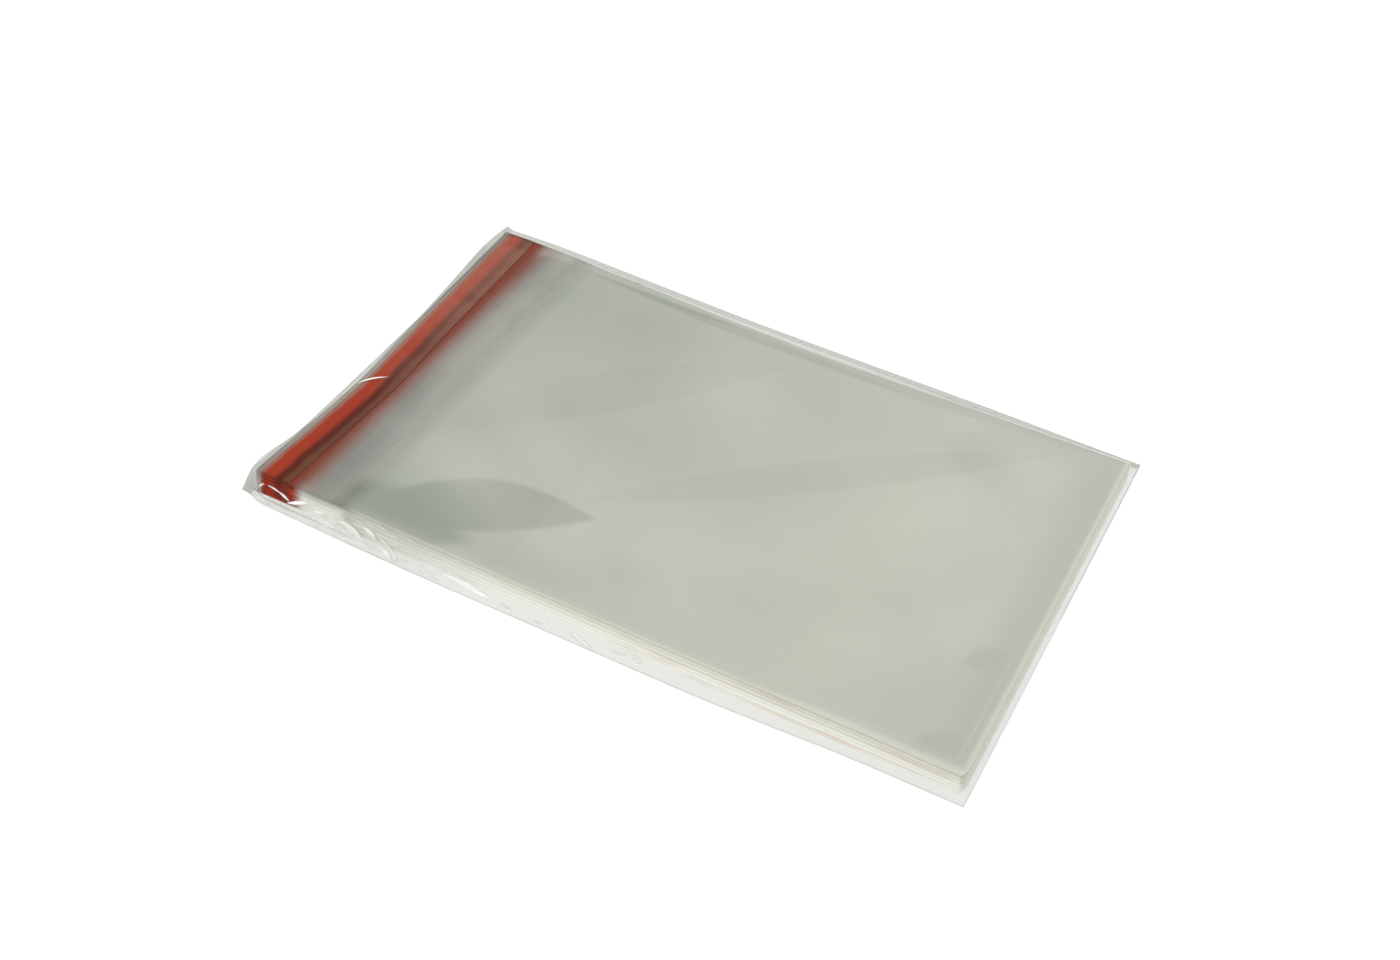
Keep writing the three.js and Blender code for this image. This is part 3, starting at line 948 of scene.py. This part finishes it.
# Fine lines of pressed film near the front corner of the folds, each as far from the rounded outline
def cornerLines(tree, tone, fromFold, fromFront):
    radius = filmLook["cornerRadius"]
    cut = [largest(tree, minus(tree, radius, d), 0.0) for d in (fromFold, fromFront)]
    squares = [times(tree, c, c) for c in cut]
    inward = minus(tree, radius, mathNode(tree, "SQRT", plus(tree, *squares)))
    lines = addNode(tree, "TexNoise", noise_dimensions="1D")
    feed(tree, lines.inputs["W"], times(tree, inward, 0.62))
    lines.inputs["Detail"].default_value = 2.0
    reach = [fadeNode(tree, d, 20.0, 110.0) for d in (fromFold, fromFront)]
    ring = times(tree, rampNode(tree, inward, 0.2, 1.2), fadeNode(tree, inward, 7.5, 8.9))
    lineMask = times(tree, *reach, ring)
    paleLine = times(tree, lineMask, rampNode(tree, lines.outputs["Fac"], 0.5, 0.62, 0.0, 0.7))
    darkLine = times(tree, lineMask, rampNode(tree, lines.outputs["Fac"], 0.36, 0.46, 0.8, 0.0))
    return laid(tree, tone, filmLook, {"side": paleLine, "dark": darkLine})


def topTone(tree, place, x, patchGroup):
    cloud = noiseNode(tree, place, (0.045, 0.035, 0.0))
    tone = mixColour(tree, rampNode(tree, cloud, 0.36, 0.64), filmLook["flap"], filmLook["flapLight"])
    tone = laid(tree, tone, filmLook, {
        # the mouth's lighter tone is painted light over the shade of its step
        "mouthPaintedLight": lineNode(tree, x, *filmLook["lightening"]),
        "pocketStart": lineNode(tree, x, *filmLook["pocketFrom"]),
        "pocket": mathNode(tree, "POWER", lineNode(tree, x, *filmLook["pocketTo"]), filmLook["pocketBend"]),
        "cool": rampNode(tree, x, *filmLook["coolFrom"], 0.0, filmLook["coolShare"]),
    })
    if patchGroup:
        for kind, strength, values in patches.values():
            mask = times(tree, patchMask(tree, patchGroup, place, values), strength)
            tone = mixColour(tree, mask, tone, filmLook[kind])
    return tone


# Height in the stack, from 0 on the ground to 1 at its top
def heightShare(tree, x, z):
    start, settled, end = (along + middle[0] for along in (settleStart, settleEnd, foldX))
    top = lineNode(tree, x, start, settled, stackTop(settleStart), stackTop(settleEnd))
    top = plus(tree, top, lineNode(tree, x, settled, end, 0.0, stackTop(foldX) - stackTop(settleEnd)))
    return mathNode(tree, "DIVIDE", z, top)


# The stack's sides: painted light. Fewer layers lie over the bright ground there, so they are painted
# lighter downwards
def sideTone(tree, place, x, share, fromFold, deepStain, tips):
    side = mixColour(tree, lineNode(tree, share, 1.0, 0.2), filmLook["sideTop"], filmLook["side"])
    side = mixColour(tree, fadeNode(tree, x, *filmLook["greySides"]), side, filmLook["sideGrey"])
    # The strips' red ends on the sides, with dark bands of painted shade between the layers
    layers = noiseNode(tree, place, (0.12, 0.0, 1.3), rough=0.7)
    ends = mixColour(tree, rampNode(tree, layers, 0.42, 0.6), filmLook["endGapShade"], filmLook["endRed"])
    side = mixColour(tree, fadeNode(tree, x, *filmLook["redEnds"]), side, ends)
    bands = rampNode(tree, noiseNode(tree, place, (0.012, 0.0, 0.5), rough=0.6), 0.5, 0.62)
    inset = rampNode(tree, fromFold, *filmLook["pinkInset"])
    pink = times(tree, bands, rampNode(tree, x, *filmLook["pinkFrom"]), inset)
    return laid(tree, side, filmLook, {"stained": deepStain, "tips": tips, "sidePink": pink})


# Painted glow on the thin edges, standing in for the light from the ground that comes through them
def edgeGlow(tree, y, pocket, share, fromFold, fromMiddle, tips):
    outside, inside = filmLook["glowFrom"]
    front, back = (fadeNode(tree, y, middle[1] + way * outside, middle[1] + way * inside) for way in (-1, 1))
    back = times(tree, back, rampNode(tree, share, 0.9, 0.6))
    foldWidth, foldShare = filmLook["foldGlow"]
    fold = rampNode(tree, fromFold, 0.0, foldWidth, foldShare, 0.0)
    glow = times(tree, largest(tree, front, back, fold), rampNode(tree, share, 1.0, 0.7, 0.65, 1.0))
    glow = times(tree, glow, pocket, filmLook["edgeGlow"])
    flaps = rampNode(tree, fromMiddle, *filmLook["flapGlowFrom"])
    flaps = times(tree, flaps, rampNode(tree, share, 0.97, 0.85))
    flaps = times(tree, flaps, rampNode(tree, pocket, 0.0, 1.0, filmLook["flapGlow"], 0.0))
    return largest(tree, glow, flaps, times(tree, tips, filmLook["tipGlow"]))


def bagFilmMaterial(name, patchGroup=None):
    material, tree, shader = newMaterial(name)
    place = millimetres(tree)
    x, y, z = axes(tree, place)
    pocket = rampNode(tree, x, *filmLook["mouth"])
    fromTip = plus(tree, minus(tree, x, tipX + middle[0]), bowNode(tree, y)[0])
    fromFold = minus(tree, highBagHigh[0], x)
    fromFront = minus(tree, y, highBagLow[1])
    fromMiddle = distance(tree, y, middle[1])
    share = heightShare(tree, x, z)

    stain = fadeNode(tree, x, *filmLook["stain"])
    # The flaps' tips are painted lighter, as painted light against the shade among them
    tips = rampNode(tree, fromTip, *filmLook["tipBand"])
    tone = laid(tree, topTone(tree, place, x, patchGroup), filmLook, {"stained": stain, "tips": tips})
    if patchGroup:
        tone = cornerLines(tree, tone, fromFold, fromFront)

    inside, outside, strength = filmLook["deepStain"]
    deepStain = times(tree, stain, rampNode(tree, fromMiddle, inside, outside, strength, 0.0))
    side = sideTone(tree, place, x, share, fromFold, deepStain, tips)
    # The side's painted light also goes on the top's rims at the front and the fold, and on everything below
    # the top
    frontWidth = rampNode(tree, x, *filmLook["frontRim"])
    frontRim = rampNode(tree, fromFront, frontWidth, -1.0, 0.0, filmLook["frontRimShare"])
    foldWidth, foldShare = filmLook["foldRim"]
    foldRim = rampNode(tree, fromFold, foldWidth, -0.5, 0.0, foldShare)
    edges = times(tree, largest(tree, frontRim, foldRim), pocket)
    edges = largest(tree, edges, rampNode(tree, share, 1.02, 0.9))

    alpha = lineNode(tree, pocket, 0.0, 1.0, filmLook["flapAlpha"], 1.0)
    mouthAlpha = lineNode(tree, markNode(tree, "mouth"), 0.0, 1.0, 1.0, filmLook["mouthAlpha"])
    fill(tree, shader, {
        "Base Color": mixColour(tree, edges, tone, side),
        "Alpha": times(tree, alpha, mouthAlpha),
        # Painted glow in the side's tone on the edges, the flaps' sides and their tips
        "Emission Color": side,
        "Emission Strength": edgeGlow(tree, y, pocket, share, fromFold, fromMiddle, tips),
        "Roughness": filmLook["roughness"],
        "Specular IOR Level": filmLook["specular"],
    })
    return material


# The red liners

linerLook = {
    "bright": shade(178, 54, 28),
    "thread": shade(190, 84, 58),
    "core": shade(94, 30, 14),
    "inner": shade(116, 68, 50),
    "faded": shade(136, 88, 74),
    "outside": shade(164, 132, 118),
    "pale": shade(206, 148, 130),
    "paleShare": (0.0, 0.36),    # at the front end and at the back end
    "outsideBand": (2.8, 0.0),    # mm from the outer edge, as the next three are
    "coreBand": (7.5, 11.5),
    "innerBand": (12.8, 15.2),
    "fadedBand": (16.8, 20.5),
    "wander": 1.0,
    # painted red glow on the strips' ends at the sides, and where it lies
    "endGlow": 0.12,
    "glowFrom": (118.0, 119.6),    # from the middle line
    "glowBelow": (0.2, 1.2),    # under the stack's top
    "roughness": 0.45,
    "specular": 0.1,
    "bump": 0.3,
    "bumpHeight": 0.0003,    # metres
}


def linerMaterial():
    material, tree, shader = newMaterial("redLiner")
    place = millimetres(tree)
    x, y, z = axes(tree, place)
    # the strips bow with their flaps, and so do their bands
    reach, across = bowNode(tree, y)
    edge = tipX + stack["linerInset"] + middle[0]
    threads = noiseNode(tree, place, (1.6, 0.02, 0.0), 3.0, 0.6)
    wander = noiseNode(tree, place, (0.0, 0.035, 0.0))
    most = linerLook["wander"]
    inset = plus(tree, minus(tree, x, edge), reach,
                 lineNode(tree, threads, 0.25, 0.75, -most, most),
                 lineNode(tree, wander, 0.3, 0.7, -most, most))

    threadShare = rampNode(tree, threads, 0.45, 0.7, 0.0, 0.6)
    tone = mixColour(tree, threadShare, linerLook["bright"], linerLook["thread"])
    for name in ("core", "inner", "faded"):
        tone = mixColour(tree, rampNode(tree, inset, *linerLook[name + "Band"]), tone, linerLook[name])
    outsideShare = rampNode(tree, inset, *linerLook["outsideBand"], 0.0, 0.8)
    tone = mixColour(tree, outsideShare, tone, linerLook["outside"])
    towardsBack = rampNode(tree, across, 0.2, 0.9, *linerLook["paleShare"])
    pale = times(tree, towardsBack, rampNode(tree, wander, 0.3, 0.6, 0.5, 1.0))

    # Painted glow on the strips' ends, below the stack's top
    ends = rampNode(tree, distance(tree, y, middle[1]), *linerLook["glowFrom"], 0.0, linerLook["endGlow"])
    below = rampNode(tree, z, *(float(stackTop(tipX)) - depth for depth in linerLook["glowBelow"]))
    bump = addNode(tree, "Bump")
    fill(tree, bump, {"Strength": linerLook["bump"], "Distance": linerLook["bumpHeight"], "Height": threads})
    fill(tree, shader, {
        "Base Color": mixColour(tree, pale, tone, linerLook["pale"]),
        "Emission Color": filmLook["endRed"],
        "Emission Strength": times(tree, ends, below),
        "Normal": bump.outputs["Normal"],
        "Roughness": linerLook["roughness"],
        "Specular IOR Level": linerLook["specular"],
    })
    return material


# The outer bag's clear film

outerLook = {
    "tint": (0.953, 0.955, 0.946),
    "edgeTint": (0.875, 0.875, 0.86),
    "lipTint": (0.83, 0.835, 0.82),
    "milky": (0.9, 0.9, 0.89),
    "haze": shade(225, 227, 220),
    # shine and the next two keys: the painted highlights on the shining folds, their share of the film and
    # their painted glow
    "shine": shade(252, 252, 248),
    "paintedHighlightShare": 0.9,
    "paintedHighlightGlow": 0.2,
    "roughness": 0.4,
    "gloss": 0.12,
    "reflects": (0.003, 0.5),    # seen square on, and edge on
    "fold": (-192.0, -27.6, 0.82, 9.0, 0.55, 0.4, -1.6),    # a painted highlight on the crease over the strip, as a soft patch
}


def outerFilmMaterial(patchGroup):
    material, tree, shader = newMaterial("outerFilm")
    place = millimetres(tree)
    # Painted highlights on the shining folds and on the crease over the strip, in a paler colour with a
    # painted glow
    paintedHighlight = largest(tree, markNode(tree, "paintedHighlight"), patchMask(tree, patchGroup, place, outerLook["fold"]))
    fill(tree, shader, {
        "Base Color": mixColour(tree, paintedHighlight, outerLook["haze"], outerLook["shine"]),
        "Emission Color": outerLook["shine"],
        "Emission Strength": times(tree, paintedHighlight, outerLook["paintedHighlightGlow"]),
        "Roughness": outerLook["roughness"],
    })

    mottle = rampNode(tree, noiseNode(tree, place, (0.12, 0.5, 0.9)), 0.35, 0.65, 0.2, 1.0)
    tint = laid(tree, outerLook["tint"], outerLook, {
        "milky": times(tree, markNode(tree, "milky"), mottle),
        "edgeTint": markNode(tree, "edge"),
        "lipTint": markNode(tree, "lips"),
    })
    clear = addNode(tree, "BsdfTransparent")
    feed(tree, clear.inputs["Color"], tint)
    shine = addNode(tree, "BsdfGlossy")
    shine.inputs["Roughness"].default_value = outerLook["gloss"]

    body, film = addNode(tree, "MixShader"), addNode(tree, "MixShader")
    feed(tree, body.inputs[0], times(tree, paintedHighlight, outerLook["paintedHighlightShare"]))
    tree.links.new(clear.outputs[0], body.inputs[1])
    tree.links.new(shader.outputs[0], body.inputs[2])
    facing = addNode(tree, "LayerWeight")
    facing.inputs["Blend"].default_value = 0.5
    grazing = mathNode(tree, "POWER", facing.outputs["Facing"], 5.0)
    feed(tree, film.inputs[0], lineNode(tree, grazing, 0.0, 1.0, *outerLook["reflects"]))
    tree.links.new(body.outputs[0], film.inputs[1])
    tree.links.new(shine.outputs[0], film.inputs[2])
    tree.links.new(film.outputs[0], tree.nodes["Material Output"].inputs["Surface"])
    return material


# Build

makeCamera()
makeStudio()
step("camera, floor and lamps")

softPatch = softPatchGroup()
mailerFilm = bagFilmMaterial("mailerFilm")
topMailerFilm = bagFilmMaterial("topMailerFilm", softPatch)
redLiner = linerMaterial()
outerFilm = outerFilmMaterial(softPatch)
for name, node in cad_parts.items():
    look = mailerFilm if name.startswith("bag") else redLiner if name.startswith("liner") else outerFilm
    node.data.materials.clear()
    node.data.materials.append(look)
step("materials")

for index in range(stack["bags"]):
    number = f"{index + 1:02d}"
    low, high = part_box("bag_" + number)
    along = low.x / mm - middle[0] - tipX
    across = (low.y + high.y) / 2 / mm - middle[1]
    shell, mouth = mailerShell(index, along, across)
    look = topMailerFilm if index == lastBag else mailerFilm
    bag = meshObject("mailer_" + number, [shell], look, {"mouth": mouth})
    strip = meshObject("red_strip_" + number, [linerShell(index, along, across)], redLiner)
    for piece, node, slotName in ((bag, "bag_", "mailer_film"), (strip, "liner_", "release_liner")):
        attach(piece, "root")
        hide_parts(node + number)
step("mailers and their red strips")

sleeveShells, sleeveMarks = outerShells()
sleeve = meshObject("clear_outer_sleeve", sleeveShells, outerFilm, sleeveMarks)
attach(sleeve, "root")
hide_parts("outer_bag")
step("outer bag")

scene.view_settings.view_transform = "Standard"
scene.cycles.transparent_max_bounces = 24
scene.cycles.max_bounces = 5
scene.cycles.diffuse_bounces = 2
scene.cycles.glossy_bounces = 2
